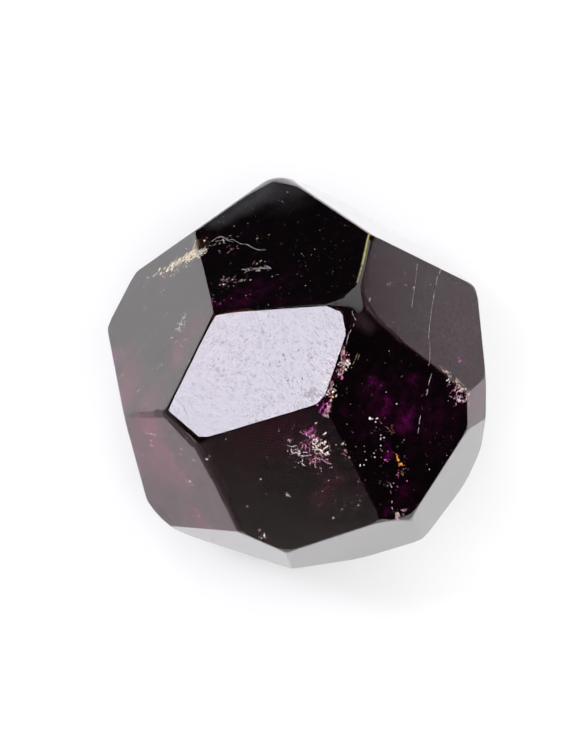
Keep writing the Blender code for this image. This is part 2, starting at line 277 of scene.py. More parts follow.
# Whole flats, each with a share: bright sparks, fine dark marks, clouding by tint (grey: painted reflection),
# a haze that lights up when it is seen edgeways, a dark matt dimming (painted shade on top_right), and added
# roughness.
SPARKLING_FLATS = {"side_front_left": 0.85, "shoulder_left": 0.45}
MARKED_FLATS = {"shoulder_left": 0.42, "side_front_left": 0.36, "top_right": 0.25}
CLOUDING_AND_SHEEN_FLATS = {
    "rose": {"side_front_left": 0.058, "shoulder_left": 0.012, "top_right": 0.06, "shoulder_right": 0.055,
             "shoulder_front": 0.004},
    # Grey on flats seen edgeways is a painted reflection of the pale table.
    "grey": {"side_front": 0.05, "side_front_low": 0.07, "side_front_right": 0.05, "shoulder_back_right": 0.1,
             "shoulder_right": 0.03},
}
HAZED_FLATS = {"side_front": 0.33, "side_front_low": 0.37, "side_front_right": 0.31,
               "shoulder_back_right": 0.8}
# Dark matt layer that dims these flats; on top_right it is painted shade that darkens the mirrored table.
DIMMED_FLATS = {"shoulder_left": 0.15, "side_front_left": 0.16, "top_right": 0.6, "shoulder_right": 0.15,
                 "side_front_low": 0.04, "side_front": 0.05, "side_front_right": 0.05}
DULL_FLATS = {"top_right": 0.13, "shoulder_front": 0.12, "side_front_left": 0.03}
# Places, each a centre and a radius in millimetres: duller ones with their added roughness, then those of the
# upper front flat that have sparse marks, and grey smudges, both with their strength.
DULL_PATCHES = (((70.7, 100.3), 2.6, 0.1), ((70.4, 108.0), 2.4, 0.1), ((16.5, 340.0), 1.8, 0.16))
MARKED_PATCHES = (((28.0, 268.0), 6.0, 0.9), ((30.0, 225.0), 8.0, 0.45))
SMUDGES = (((33.9, 274.9), 0.34, 0.42), ((33.5, 278.2), 0.46, 0.42), ((34.4, 281.0), 0.34, 0.38),
           ((35.7, 277.2), 0.28, 0.34), ((34.8, 283.4), 0.22, 0.3))
# Painted shade: dark matt paint where rounded edges and corners mirror dark surroundings.
# Rims and corners: both ends or the centre, radius in millimetres and strength.
PAINTED_DARK_RIMS = (
    ((79.2, 200.7), (70.0, 207.0), 0.42, 0.22), ((74.0, 204.3), (59.6, 216.1), 0.38, 0.4),
    ((64.5, 211.0), (59.6, 216.1), 0.5, 0.6), ((59.6, 216.1), (60.7, 229.4), 0.72, 0.92),
    ((60.5, 233.0), (67.6, 241.2), 0.85, 0.92), ((67.6, 241.2), (75.0, 247.2), 0.62, 0.85),
    ((75.0, 247.2), (82.8, 252.8), 0.46, 0.8), ((20.1, 7.9), (19.9, 351.0), 0.18, 0.6),
    ((19.9, 351.0), (26.3, 338.9), 0.34, 0.9), ((26.3, 338.9), (35.8, 337.6), 0.36, 0.9),
)
PAINTED_DARK_CORNERS = (((21.3, 329.5), 1.3, 0.85), ((24.6, 329.8), 1.1, 0.7), ((12.7, 331.4), 0.6, 0.4))
VEILS = {"garnet flats": 0.0016, "garnet edges": 0.003}  # clouding all over, by material
DUST = 560  # grains of dust all over
SCATTER_SEED = 11
# Grains by kind: the light and the deep tint that each varies between.
GRAIN_TINTS = {
    "white": ((0.95, 0.93, 0.95, 1), (0.55, 0.5, 0.55, 1)),
    "cream": ((0.9, 0.86, 0.77, 1), (0.44, 0.37, 0.3, 1)),
    "gold": ((0.8, 0.7, 0.42, 1), (0.36, 0.22, 0.08, 1)),
    "rose": ((0.85, 0.55, 0.66, 1), (0.3, 0.05, 0.12, 1)),
    "magenta": ((0.75, 0.12, 0.55, 1), (0.22, 0.01, 0.15, 1)),
    "amber": ((0.75, 0.28, 0.03, 1), (0.3, 0.08, 0.01, 1)),
    "rust": ((0.35, 0.14, 0.08, 1), (0.1, 0.02, 0.02, 1)),
}
KINDS = tuple(GRAIN_TINTS)
# Breaks, from dark hollows to pale splinters: the stops of the rose and of the creamy ramp.
ROSE_BREAK = ((0.46, (0.01, 0.002, 0.004, 1)), (0.53, (0.12, 0.015, 0.04, 1)), (0.59, (0.5, 0.22, 0.26, 1)),
              (0.66, (0.92, 0.82, 0.8, 1)))
CREAM_BREAK = ((0.38, (0.05, 0.02, 0.012, 1)), (0.46, (0.4, 0.28, 0.17, 1)), (0.52, (0.74, 0.66, 0.5, 1)),
               (0.62, (0.92, 0.88, 0.76, 1)))


def unit(vector):
    vector = np.asarray(vector, float)
    return vector / np.linalg.norm(vector)


def heading_vector(lean, heading):
    """The unit direction that leans by lean degrees from straight up toward a compass heading."""
    lean, heading = math.radians(lean), math.radians(heading)
    return np.array([math.sin(lean) * math.cos(heading), math.sin(lean) * math.sin(heading), math.cos(lean)])


NORMALS = {name: heading_vector(lean, heading) for name, (lean, heading, _) in FLATS.items()}
DISTANCES = {name: distance for name, (_, _, distance) in FLATS.items()}


def corners(inset):
    """The corners of the crystal with every flat moved in by inset: {names of the three flats: point}."""
    names = list(FLATS)
    normals = np.array(list(NORMALS.values()))
    distances = np.array(list(DISTANCES.values())) - inset
    found = {}
    for three in itertools.combinations(range(len(names)), 3):
        planes = normals[list(three)]
        if abs(np.linalg.det(planes)) < 1e-6:
            continue
        point = np.linalg.solve(planes, distances[list(three)])
        if (normals @ point <= distances + 1e-9).all():
            found[frozenset(names[i] for i in three)] = point
    return found


def surface_at(lean, heading):
    """Where the ray from the middle in this direction leaves the crystal, and the outward direction there."""
    ray = heading_vector(lean, heading)
    ranges = {name: DISTANCES[name] / (NORMALS[name] @ ray) for name in FLATS if NORMALS[name] @ ray > 0.05}
    nearest = min(ranges.values())
    outward = sum(NORMALS[name] for name, reach in ranges.items() if reach < nearest + 0.4)
    return ray * nearest, unit(outward)


def spot_at(lean, heading):
    """The point of the surface at this address, in metres and in the frame."""
    return (surface_at(lean, heading)[0] + MIDDLE) * MM


# ---- shader building ----


class Wire:
    """An output socket that can be used in an expression; each operator adds the Math node for it."""

    def __init__(self, shader, socket):
        self.shader, self.socket = shader, socket

    def _math(self, operation, *values):
        return self.shader.node("ShaderNodeMath", {"operation": operation}, dict(enumerate(values)))

    def __add__(self, other):
        return self._math("ADD", self, other)

    def __mul__(self, other):
        return self._math("MULTIPLY", self, other)

    def __truediv__(self, other):
        return self._math("DIVIDE", self, other)

    __radd__, __rmul__ = __add__, __mul__

    def least(self, other):
        return self._math("MINIMUM", self, other)

    def most(self, other):
        return self._math("MAXIMUM", self, other)

    def fade(self, full, none):
        """1 where this value is at or past full, 0 where it is at or past none, smooth between."""
        low, high = min(full, none), max(full, none)
        ends = (1.0, 0.0) if full < none else (0.0, 1.0)
        return self.shader.node(
            "ShaderNodeMapRange",
            {"interpolation_type": "SMOOTHSTEP"},
            {"Value": self, "From Min": low, "From Max": high, "To Min": ends[0], "To Max": ends[1]},
        )


class Shader:
    """A material's node tree, emptied, with one method that adds any node."""

    def __init__(self, name, tree=None):
        if tree is None:
            self.material = bpy.data.materials.new(name)
            self.material.use_nodes = True
            tree = self.material.node_tree
        self.tree = tree
        self.tree.nodes.clear()

    def node(self, kind, settings=None, inputs=None, out=0):
        """Adds a node, gives it its settings, then the values or links of its inputs; returns one output, or
        several when out names several."""
        made = self.tree.nodes.new(kind)
        for key, value in (settings or {}).items():
            if key == "stops":
                self._stops(made.color_ramp, value)
            else:
                setattr(made, key, value)
        for key, value in (inputs or {}).items():
            socket = made.inputs[key]
            if isinstance(value, Wire):
                self.tree.links.new(value.socket, socket)
            else:
                socket.default_value = value
        if isinstance(out, tuple):
            return [Wire(self, made.outputs[each]) for each in out]
        return Wire(self, made.outputs[out])

    def _stops(self, ramp, stops):
        while len(ramp.elements) < len(stops):
            ramp.elements.new(0.5)
        for element, (position, colour) in zip(ramp.elements, stops):
            element.position = position
            element.color = colour

    def place(self):
        return self.node("ShaderNodeTexCoord", out="Object")

    def vector(self, operation, *values, out="Vector"):
        values = [value if isinstance(value, Wire) else tuple(value) for value in values]
        return self.node("ShaderNodeVectorMath", {"operation": operation}, dict(enumerate(values)), out)

    def distance(self, place, point):
        """Distance in metres of the shaded point from another, given in metres."""
        return self.vector("DISTANCE", place, point, out="Value")

    def dot(self, place, direction):
        return self.vector("DOT_PRODUCT", place, direction, out="Value")

    def bend(self, place, scale, reach):
        """The place moved about by noise of this scale, by up to half of reach along each axis."""
        drift = self.vector("SUBTRACT", self.noise(place, scale, out=1), (0.5, 0.5, 0.5))
        return self.vector("MULTIPLY_ADD", drift, (reach, reach, reach), place)

    def noise(self, place, scale, detail=2.0, rough=0.5, out=0):
        inputs = {"Vector": place, "Scale": scale, "Detail": detail, "Roughness": rough}
        return self.node("ShaderNodeTexNoise", {}, inputs, out)

    def mix_colour(self, factor, first, second):
        return self.node("ShaderNodeMix", {"data_type": "RGBA"}, {0: factor, 6: first, 7: second}, out=2)

    def bump(self, height, depth):
        return self.node("ShaderNodeBump", {}, {"Height": height, "Distance": depth, "Strength": 1.0})

    def surface(self, **values):
        named = {key.replace("_", " "): value for key, value in values.items()}
        return self.node("ShaderNodeBsdfPrincipled", {}, named)

    def blend(self, factor, first, second):
        return self.node("ShaderNodeMixShader", {}, {0: factor, 1: first, 2: second})

    def finish(self, surface, volume=None):
        links = {"Surface": surface, "Volume": volume} if volume else {"Surface": surface}
        self.node("ShaderNodeOutputMaterial", {}, links, out=())
        return self.material


# ---- settings ----


def number(name, text, default, **more):
    return bpy.props.FloatProperty(name=name, description=text, default=default, **more)


def metres(name, text, default, **more):
    return number(name, text, default, unit="LENGTH", precision=5, **more)


def colour(name, text, default):
    return bpy.props.FloatVectorProperty(
        name=name, description=text, default=default, size=4, subtype="COLOR", min=0.0, max=1.0
    )


class GarnetShape(bpy.types.PropertyGroup):
    edge_radius: metres("Edge rounding", "Radius of the rounding along every edge", 0.00035, min=0.0001)
    corner_radius: metres("Corner rounding", "Radius at an ordinary corner", 0.001, min=0.0002)
    corner_reach: metres("Corner reach", "How far a corner's rounding runs along its edges", 0.0009, min=0.0)
    arc_steps: bpy.props.IntProperty(
        name="Arc steps", description="Steps across the turn between two flats", default=10, min=2, max=24
    )


class GarnetLooks(bpy.types.PropertyGroup):
    ior: number("Index of refraction", "How strongly the garnet bends light", 1.74, min=1.0, max=2.5)
    body_colour: colour("Body colour", "Colour that a beam keeps inside the garnet", (0.50, 0.04, 0.44, 1.0))
    body_density: number("Body density", "How fast light dies away inside, per metre", 640.0, min=0.0)
    polish: number("Polish roughness", "Roughness of polished flats", 0.03, min=0, max=1, subtype="FACTOR")


class StageLooks(bpy.types.PropertyGroup):
    table_radius: metres("Table radius", "Radius of the white table", 0.15, min=0.05)
    table_colour: colour("Table colour", "Colour of the table", (0.85, 0.85, 0.86, 1.0))
    lens: number("Focal length", "Focal length of the camera in millimetres", 120.3, min=10.0)
    distance: metres("Camera distance", "Distance of the camera from the crystal's middle", 0.361, min=0.05)
    elevation: number(
        "Camera elevation", "Height of the camera above the horizon", math.radians(62.0), unit="ROTATION"
    )


# ---- crystal ----


def worn_at(corner, shape):
    """(radius, reach, group) of the rounding at a corner, in millimetres."""
    for flats, radius, reach in WORN_CORNERS:
        if corner <= set(flats):
            return radius, reach, frozenset(flats)
    return shape.corner_radius / MM, shape.corner_reach / MM, corner


def edge_ends(pair, radius):
    """The two ends of the line along which a ball of this radius touches both flats of an edge."""
    ends = [(corner, point) for corner, point in corners(radius).items() if pair <= corner]
    return ends if len(ends) == 2 else []


def ball_patch(centre, radius, flats, steps):
    """Points of a ball that face between the given flats, those flats' own directions included."""
    directions = [NORMALS[name] for name in sorted(flats)]
    points = []
    for shares in itertools.product(range(steps + 1), repeat=len(directions)):
        if sum(shares) == steps:
            blend = sum(share * direction for share, direction in zip(shares, directions))
            points.append(centre + radius * unit(blend))
    return points


def rounded_points(shape):
    """Points of all the balls that stand in the corners and along the edges of the crystal."""
    points = []
    sharp = corners(0.0)
    for radius in sorted({worn_at(corner, shape)[0] for corner in sharp}):
        for corner, centre in corners(radius).items():
            if worn_at(corner, shape)[0] == radius:
                points += ball_patch(centre, radius, corner, shape.arc_steps)
    pairs = {first & second for first, second in itertools.combinations(sharp, 2) if len(first & second) == 2}
    for pair in sorted(pairs, key=sorted):
        radius = WORN_EDGES.get(pair, shape.edge_radius / MM)
        ends = edge_ends(pair, radius)
        if not ends:
            continue
        (first, start), (second, end) = ends
        _, reach_a, group_a = worn_at(first, shape)
        _, reach_b, group_b = worn_at(second, shape)
        span = np.linalg.norm(end - start)
        if group_a == group_b or span <= reach_a + reach_b:
            continue
        along = (end - start) / span
        for centre in (start + along * reach_a, end - along * reach_b):
            points += ball_patch(centre, radius, pair, shape.arc_steps)
    return [point * SNUG for point in points]


def hull_mesh(points):
    """The hull of the points, in metres, as a bmesh with its loose inner points gone."""
    mesh = bmesh.new()
    for point in points:
        mesh.verts.new(Vector((point + MIDDLE) * MM))
    bmesh.ops.remove_doubles(mesh, verts=mesh.verts, dist=1e-6)
    hull = bmesh.ops.convex_hull(mesh, input=mesh.verts)
    spare = hull["geom_interior"] + hull["geom_unused"]
    spare = list({part for part in spare if isinstance(part, bmesh.types.BMVert)})
    bmesh.ops.delete(mesh, geom=spare, context="VERTS")
    bmesh.ops.recalc_face_normals(mesh, faces=mesh.faces)
    bmesh.ops.dissolve_limit(mesh, angle_limit=math.radians(0.02), verts=mesh.verts, edges=mesh.edges)
    return mesh


def add_chip(mesh, point, outward, breadth, depth, chance):
    """A rough flattened ball that dips into the surface by depth over about the given breadth."""
    size = Vector((0.62 * breadth, 0.62 * breadth * chance.uniform(0.6, 1.0), 1.7 * depth))
    turn = Vector(outward).to_track_quat("Z", "X").to_matrix().to_4x4()
    spin = Matrix.Rotation(chance.uniform(0.0, math.tau), 4, "Z")
    centre = Vector((point + outward * 0.7 * depth + MIDDLE) * MM)
    place = Matrix.Translation(centre) @ turn @ spin @ Matrix.Diagonal((*(size * MM), 1.0))
    ball = bmesh.ops.create_icosphere(mesh, subdivisions=2, radius=1.0)["verts"]
    for vertex in ball:
        vertex.co *= chance.uniform(0.82, 1.12)
    bmesh.ops.transform(mesh, matrix=place, verts=ball)


def chip_cutter():
    """All the chips' cutting shapes in one mesh."""
    mesh = bmesh.new()
    for start, end, count, breadth, depth, seed in CHIP_RUNS:
        chance = random.Random(seed)
        for step in range(count):
            share = step / max(1, count - 1)
            lean = start[0] + (end[0] - start[0]) * share + chance.uniform(-1.0, 1.0)
            heading = start[1] + (end[1] - start[1]) * share + chance.uniform(-1.0, 1.0)
            point, outward = surface_at(lean, heading)
            scale = 0.45 + 0.75 * chance.uniform(0.0, 1.0) ** 2
            add_chip(mesh, point, outward, breadth * scale, depth * scale, chance)
    return mesh


def new_object(name, mesh, *materials):
    """Puts a bmesh into the scene as an object with these materials."""
    data = bpy.data.meshes.new(name)
    mesh.to_mesh(data)
    mesh.free()
    made = bpy.data.objects.new(name, data)
    bpy.context.scene.collection.objects.link(made)
    for material in materials:
        data.materials.append(material)
    return made


def settle(piece):
    """Replaces the piece's mesh by what its modifiers make of it."""
    bpy.context.view_layer.update()
    evaluated = piece.evaluated_get(bpy.context.evaluated_depsgraph_get())
    finished = bpy.data.meshes.new_from_object(evaluated)
    piece.modifiers.clear()
    old, piece.data = piece.data, finished
    finished.name = piece.name
    bpy.data.meshes.remove(old)


class Surface:
    """Finds a point of the crystal's finished surface and the outward direction there."""

    def __init__(self, crystal):
        self.tree = BVHTree.FromObject(crystal, bpy.context.evaluated_depsgraph_get())
        self.middle = Vector(MIDDLE * MM)

    def towards(self, direction):
        """Seen from the middle in this direction; the ray comes in from well outside the crystal."""
        return self.tree.ray_cast(self.middle + Vector(direction) * 0.04, -Vector(direction))[:2]

    def at(self, lean, heading):
        return self.towards(heading_vector(lean, heading))

    def under(self, spot):
        return self.towards((spot - self.middle).normalized())


class Grains:
    """Flat, jagged grains that lie on the surface; each batch is made alone and then joined to the rest."""

    def __init__(self):
        self.mesh, self.batch, self.count = bmesh.new(), bmesh.new(), 0

    def add(self, place, outward, along, length, width, height, kind, chance):
        along = (along - outward * along.dot(outward)).normalized()
        across = outward.cross(along)
        turn = Matrix((along, across, outward)).transposed().to_4x4()
        size = Matrix.Diagonal((length / 2, width / 2, height / 2, 1.0))
        grain = bmesh.ops.create_icosphere(self.batch, subdivisions=1, radius=1.0)["verts"]
        for vertex in grain:
            vertex.co *= chance.uniform(0.55, 1.15)
        spot = Matrix.Translation(place - outward * height * 0.15)
        bmesh.ops.transform(self.batch, matrix=spot @ turn @ size, verts=grain)
        for face in {face for vertex in grain for face in vertex.link_faces}:
            face.material_index = KINDS.index(kind)
        self.count += 1
        if self.count % 25 == 0:
            self.join()

    def join(self):
        carrier = bpy.data.meshes.new("batch")
        self.batch.to_mesh(carrier)
        self.batch.free()
        self.batch = bmesh.new()
        self.mesh.from_mesh(carrier)
        bpy.data.meshes.remove(carrier)
        return self.mesh


def side_of(outward):
    """Two directions along the surface."""
    first = outward.orthogonal().normalized()
    return first, outward.cross(first)


def scatter_flecks(grains, surface, chance):
    """Clusters of grains, and dust all over the crystal."""
    for (lean, heading), spread, count, size, kind in FLECKS:
        centre, outward = surface.at(lean, heading)
        across, up = side_of(outward)
        for _ in range(count):
            spot = centre + (across * chance.gauss(0, spread) + up * chance.gauss(0, spread)) * MM
            place, normal = surface.under(spot)
            scale = size * MM * (0.28 + 0.9 * chance.random() ** 2)
            way = across * chance.uniform(-1, 1) + up * chance.uniform(-1, 1)
            long = scale * chance.uniform(1.0, 2.4)
            grains.add(place, normal, way, long, scale, 0.35 * scale, kind, chance)
    for _ in range(DUST):
        up = chance.uniform(-0.75, 1.0)
        around = chance.uniform(0.0, math.tau)
        flat = math.sqrt(1.0 - up * up)
        place, normal = surface.towards(Vector((flat * math.cos(around), flat * math.sin(around), up)))
        scale = (0.035 + 0.09 * chance.random() ** 3) * MM
        way = Vector((chance.uniform(-1, 1), chance.uniform(-1, 1), chance.uniform(-1, 1)))
        kind = chance.choice(("white", "white", "white", "cream", "rose"))
        grains.add(place, normal, way, scale * chance.uniform(1.0, 2.0), scale, 0.4 * scale, kind, chance)


def weave_webs(grains, surface, chance):
    """Curling strings of slim slivers, the lace of tiny healed cracks."""
    for (lean, heading), spread, strings, length, width, kind in WEBS:
        centre, outward = surface.at(lean, heading)
        across, up = side_of(outward)
        for _ in range(strings):
            x, y = chance.gauss(0, spread), chance.gauss(0, spread)
            turn = chance.uniform(0, math.tau)
            for _ in range(chance.randint(3, 8)):
                turn += chance.gauss(0.0, 0.75)
                step = length * chance.uniform(0.6, 1.3)
                x, y = x + math.cos(turn) * step, y + math.sin(turn) * step
                if math.hypot(x, y) > 2.1 * spread:
                    break
                spot = centre + (across * x + up * y) * MM
                place, normal = surface.under(spot)
                way = across * math.cos(turn) + up * math.sin(turn)
                wide = width * MM * chance.uniform(0.5, 1.5)
                grains.add(place, normal, way, step * MM * 1.25, wide, 0.5 * wide, kind, chance)


def draw_scratches(grains, surface, chance):
    """Cracks and scratches as rows of slim slivers, with gaps where they fade."""
    for route, shown, width, kind in SCRATCHES:
        stops = [surface.at(lean, heading)[0] for lean, heading in route]
        for start, end in zip(stops, stops[1:]):
            span = (end - start).length
            steps = max(1, round(span / (0.28 * MM)))
            for step in range(steps):
                if chance.random() > shown:
                    continue
                spot = start.lerp(end, (step + 0.5) / steps)
                place, normal = surface.under(spot)
                way = (end - start).normalized()
                way = way + normal.cross(way) * chance.uniform(-0.22, 0.22)
                wide = width * MM * chance.uniform(0.5, 1.15)
                grains.add(place, normal, way, span / steps * 1.35, wide, 0.5 * wide, kind, chance)


def fleck_material(kind):
    """Bright broken grains, each kind with its own tint, varied from grain to grain."""
    light, deep = GRAIN_TINTS[kind]
    shader = Shader(kind + " grains")
    place = shader.place()
    patch = shader.noise(place, 6000.0, 2.0).fade(0.62, 0.38)
    fine = shader.noise(place, 20000.0, 2.0)
    surface = shader.surface(
        Base_Color=shader.mix_colour(patch, deep, light), Roughness=0.35 + 0.3 * fine, IOR=1.6
    )
    return shader.finish(surface)


def garnet_material(name, looks, veil):
    """See-through garnet under haze, clouding, painted sheen, dark dimming, painted dark rims and pits; veil
    is the clouding all over.
    """
    shader = Shader(name)
    place = shader.place()
    swirl = shader.noise(place, 260.0, 5.0, 0.62)
    cloud = shader.noise(place, 900.0, 4.0, 0.6)
    fine = shader.noise(place, 3800.0, 3.0, 0.7)
    bent = shader.bend(place, 420.0, 0.0030)
    frayed = shader.bend(place, 2600.0, 0.0009)

    def glows(spots, through=bent, core=0.1):
        total = 0.0
        for address, radius, strength in spots:
            gap = shader.distance(through, spot_at(*address))
            total = gap.fade(radius * core * MM, radius * MM) * strength + total
        return total

    def streaks_of(lines, through=frayed, core=0.2):
        """Glows along straight lines on the surface."""
        total = 0.0
        for start, end, radius, strength in lines:
            start, end = spot_at(*start), spot_at(*end)
            way = end - start
            along = shader.dot(through, way / (way @ way))
            lead = float(start @ way / (way @ way))
            span = {"Value": along, "From Min": lead, "From Max": lead + 1.0}
            share = shader.node("ShaderNodeMapRange", {"clamp": True}, span)
            part = {0: tuple(way), "Scale": share}
            spot = shader.node("ShaderNodeVectorMath", {"operation": "SCALE"}, part)
            gap = shader.distance(through, shader.vector("ADD", spot, start))
            total = (gap.fade(radius * core * MM, radius * MM) * strength).most(total)
        return total

    def on_flat(flat):
        """1 on this flat, 0 off it."""
        reach = (DISTANCES[flat] * SNUG + NORMALS[flat] @ MIDDLE) * MM
        return shader.dot(place, NORMALS[flat]).fade(reach - 0.004 * MM, reach - 0.05 * MM)

    def on_flats(shares):
        total = 0.0
        for flat, share in shares.items():
            total = on_flat(flat) * share + total
        return total

    def dots(through, scale, core, edge, share):
        """Little round dots in this share of the cells of a random foam; core and edge are in cells."""
        cells = {"Vector": through, "Scale": scale}
        far, pick = shader.node("ShaderNodeTexVoronoi", {"feature": "F1"}, cells, out=("Distance", "Color"))
        chosen = shader.node("ShaderNodeSeparateColor", {}, {"Color": pick}).fade(1.01 - share, 0.99 - share)
        return far.fade(core, edge) * chosen

    wisps = swirl.fade(0.66, 0.36)
    mottle = cloud.fade(0.70, 0.34)
    speckle = fine.fade(0.66, 0.36)
    grit = fine.fade(0.57, 0.45)
    lie = {"Vector": place, "Rotation": (0.0, 0.0, math.radians(-35.0)), "Scale": (1.0, 9.0, 9.0)}
    stretched = shader.node("ShaderNodeMapping", {}, lie)
    streaks = shader.noise(stretched, 900.0, 3.0, 0.6)
    sparks = dots(frayed, 2500.0, 0.08, 0.24, 0.14) * (0.3 + 0.9 * cloud)

    texture = {
        "rose": (0.45 + 0.60 * wisps) * (0.30 + 0.50 * speckle + 0.75 * grit),
        "magenta": (0.15 + 1.1 * mottle) * (0.35 + 1.3 * speckle),
        "brown": 0.6 + 0.8 * speckle,
        "olive": 0.7 + 0.6 * speckle,
        "grey": 0.55 + 0.9 * streaks,
    }
    flats_texture = {
        "rose": (0.45 + 0.7 * mottle) * (0.3 + 0.5 * speckle + 0.8 * grit),
        "grey": 0.80 + 0.25 * wisps + 0.15 * speckle,
    }
    total, tint = 0.0001, (0.6, 0.6, 0.6, 1.0)
    for kind, spots in GLOWS.items():
        lines = streaks_of(STREAKS.get(kind, ()), place if kind == "olive" else frayed)
        share = (glows(spots) + lines) * texture[kind]
        if kind in CLOUDING_AND_SHEEN_FLATS:
            share = on_flats(CLOUDING_AND_SHEEN_FLATS[kind]) * flats_texture[kind] + share
        if kind == "rose":
            share = share + veil * (0.5 + mottle)
        total = share + total
        tint = shader.mix_colour(share / total, tint, shader.mix_colour(mottle, *GLOW_TINTS[kind]))
    sparks = sparks * (on_flats(SPARKLING_FLATS) + 0.12)
    total = sparks + total
    spark_tint = shader.mix_colour(wisps, (0.85, 0.30, 0.55, 1), (0.90, 0.88, 0.88, 1))
    tint = shader.mix_colour(sparks / total, tint, spark_tint)

    front = on_flat("top_front_left")
    grain = dots(place, 5200.0, 0.16, 0.48, 0.66) * (0.20 + 0.30 * wisps + 0.14 * mottle)
    marks = dots(frayed, 2300.0, 0.16, 0.34, 0.24)
    marked = front * glows(MARKED_PATCHES)
    pits = grain * front + marks * marked + glows(SMUDGES, frayed, 0.75)

    bump = shader.bump(shader.noise(place, 700.0, 3.0, 0.55), 0.000008)
    dull = glows(DULL_PATCHES) * (0.6 + 0.8 * streaks) + on_flats(DULL_FLATS)
    polish = looks.polish + 0.02 * cloud + dull
    glass = shader.surface(
        Base_Color=(1.0, 1.0, 1.0, 1.0), Roughness=polish, IOR=looks.ior, Transmission_Weight=1.0, Normal=bump
    )
    clouding_and_sheen = shader.surface(Base_Color=tint, Roughness=polish, IOR=looks.ior, Normal=bump)
    pitted = shader.surface(Base_Color=(0.20, 0.17, 0.17, 1.0), Roughness=0.6, IOR=1.5)
    # Dark matt paint: painted shade on top_right and along rims and corners, real dark marks elsewhere.
    dark_matt = shader.surface(Base_Color=(0.014, 0.008, 0.009, 1.0), Roughness=0.55, IOR=1.12)
    hazed = shader.surface(
        Base_Color=(0.020, 0.008, 0.011, 1.0), Roughness=polish, IOR=looks.ior, Normal=bump,
        Sheen_Weight=1.0, Sheen_Roughness=0.5, Sheen_Tint=(1.0, 1.0, 1.0, 1.0),
    )
    surface = shader.blend(on_flats(HAZED_FLATS), glass, hazed)
    # Clouding; its grey kind is painted sheen and painted reflection.
    surface = shader.blend(total.least(0.95), surface, clouding_and_sheen)
    # Painted shade: dims top_right strongly and the other listed flats a little.
    surface = shader.blend(on_flats(DIMMED_FLATS) * (0.8 + 0.4 * speckle), surface, dark_matt)
    # Painted shade along the rounded rims and corners, plus real dark marks on the marked flats.
    dark = streaks_of(PAINTED_DARK_RIMS, place, 0.65) + glows(PAINTED_DARK_CORNERS, place) + marks * on_flats(MARKED_FLATS)
    surface = shader.blend(dark.least(0.96), surface, dark_matt)
    surface = shader.blend(pits.least(0.85), surface, pitted)
    volume = shader.node(
        "ShaderNodeVolumeAbsorption", {}, {"Color": tuple(looks.body_colour), "Density": looks.body_density}
    )
    return shader.finish(surface, volume)


def break_material():
    """The uneven broken surface inside a chip: dark garnet with pale splintered patches."""
    shader = Shader("fresh break")
    place = shader.place()
    splinter = shader.noise(place, 6500.0, 4.0, 0.75)
    warm = shader.noise(place, 1100.0, 2.0, 0.5).fade(0.62, 0.42)
    tone, creamy = (
        shader.node("ShaderNodeValToRGB", {"stops": stops}, {"Fac": splinter})
        for stops in (ROSE_BREAK, CREAM_BREAK)
    )
    hollow, trail = (
        shader.distance(place, spot_at(*address)).fade(full * MM, none * MM)
        for address, full, none in (BROWN_HOLLOW, CREAM_TRAIL)
    )
    tone = shader.mix_colour((trail + 0.45 * warm).least(1.0), tone, creamy)
    amber = shader.mix_colour(splinter.fade(0.68, 0.60), (0.010, 0.003, 0.002, 1), (0.34, 0.11, 0.02, 1))
    bump = shader.bump(splinter, 0.00005)
    broken = shader.surface(Base_Color=tone, Roughness=0.18 + 0.3 * splinter, IOR=1.7, Normal=bump)
    deep = shader.surface(Base_Color=amber, Roughness=0.3, IOR=1.15)
    return shader.finish(shader.blend(hollow, broken, deep))


def shade_crystal(crystal):
    """Gives the rounded edges their own material, and every corner of a face the direction it shades with:
    flats are dead flat, roundings run smoothly into the flats beside them, and breaks are left rough."""
    data = crystal.data
    normals = np.array(list(NORMALS.values()))
    reaches = (np.array(list(DISTANCES.values())) * SNUG + normals @ MIDDLE) * MM
    spots = np.array([vertex.co for vertex in data.vertices])
    on_flat, chipped, rolled = {}, {}, {}
    kinds = []
    for face in data.polygons:
        gaps = np.abs(spots[list(face.vertices)] @ normals.T - reaches).max(axis=0)
        if face.material_index == 2:
            kind, pile = "break", chipped
        elif gaps.min() < 0.0015 * MM:
            kind, pile = "flat", on_flat
        else:
            kind, pile = "edge", rolled
            face.material_index = 1
        kinds.append((kind, Vector(normals[gaps.argmin()])))
        for vertex in face.vertices:
            aim = kinds[-1][1] if kind == "flat" else face.normal * face.area
            if kind == "flat":
                pile[vertex] = aim
            else:
                pile[vertex] = pile.get(vertex, Vector()) + aim
    ways = [Vector((0.0, 0.0, 1.0))] * len(data.loops)
    for face, (kind, flat) in zip(data.polygons, kinds):
        for loop in face.loop_indices:
            vertex = data.loops[loop].vertex_index
            if kind == "flat":
                ways[loop] = flat
            elif kind == "edge":
                ways[loop] = on_flat.get(vertex, rolled[vertex]).normalized()
            else:
                ways[loop] = (chipped[vertex].normalized() + face.normal).normalized()
    data.shade_smooth()
    data.normals_split_custom_set(ways)


class GARNET_OT_crystal(bpy.types.Operator):
    """Model the crystal with its rounded edges, worn corners and chips"""

    bl_idname = "garnet.crystal"
    bl_label = "Crystal"

    def execute(self, context):
        shape, looks = context.scene.garnet_shape, context.scene.garnet_looks
        finishes = [garnet_material(name, looks, veil) for name, veil in VEILS.items()]
        finishes.append(break_material())
        crystal = new_object("crystal", hull_mesh(rounded_points(shape)), *finishes)
        cutter = new_object("chip_cutter", chip_cutter(), *finishes)
        for face in cutter.data.polygons:
            face.material_index = 2
        cut = crystal.modifiers.new("chips", "BOOLEAN")
        cut.operation, cut.solver, cut.use_self, cut.object = "DIFFERENCE", "EXACT", True, cutter
        settle(crystal)
        bpy.data.objects.remove(cutter)
        shade_crystal(crystal)
        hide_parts(NODE)
        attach(crystal, "root")
        return {"FINISHED"}


